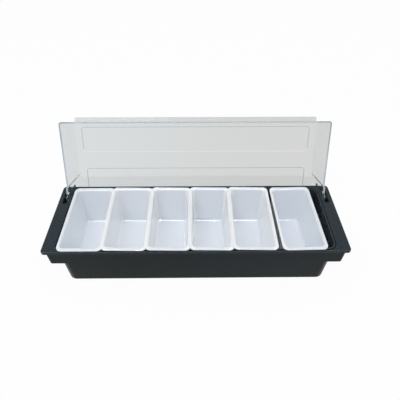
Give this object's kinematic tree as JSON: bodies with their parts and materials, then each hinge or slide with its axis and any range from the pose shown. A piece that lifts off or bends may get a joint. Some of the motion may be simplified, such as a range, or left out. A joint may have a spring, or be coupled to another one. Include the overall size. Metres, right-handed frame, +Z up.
{
  "type": "condiment holder",
  "caption": "Moulded plastic bar tray with lift-out garnish inserts side by side and a clear hinged dome lid, shown open.",
  "frame": {"origin": "centre of the tray's underside, below the middle of its flange", "axes": "+X along the tray's length, -Y towards the user, +Z up"},
  "size_m": [0.5, 0.2327, 0.2033],
  "materials": {
    "tray": "semi-gloss moulded black",
    "insert": "gloss moulded white",
    "lid": "clear polished"
  },
  "bodies": {
    "base": {"tray": "tray", "insert_1": "insert", "insert_2": "insert", "insert_3": "insert", "insert_4": "insert", "insert_5": "insert", "insert_6": "insert"},
    "lid": {"lid": "lid"}
  },
  "joints": [
    {"name": "lid_hinge", "type": "hinge", "parent": "base", "child": "lid", "pos_m": [0, 0.0542, 0.074], "axis": [1, 0, 0], "range_deg": [0, 110.5]}
  ]
}
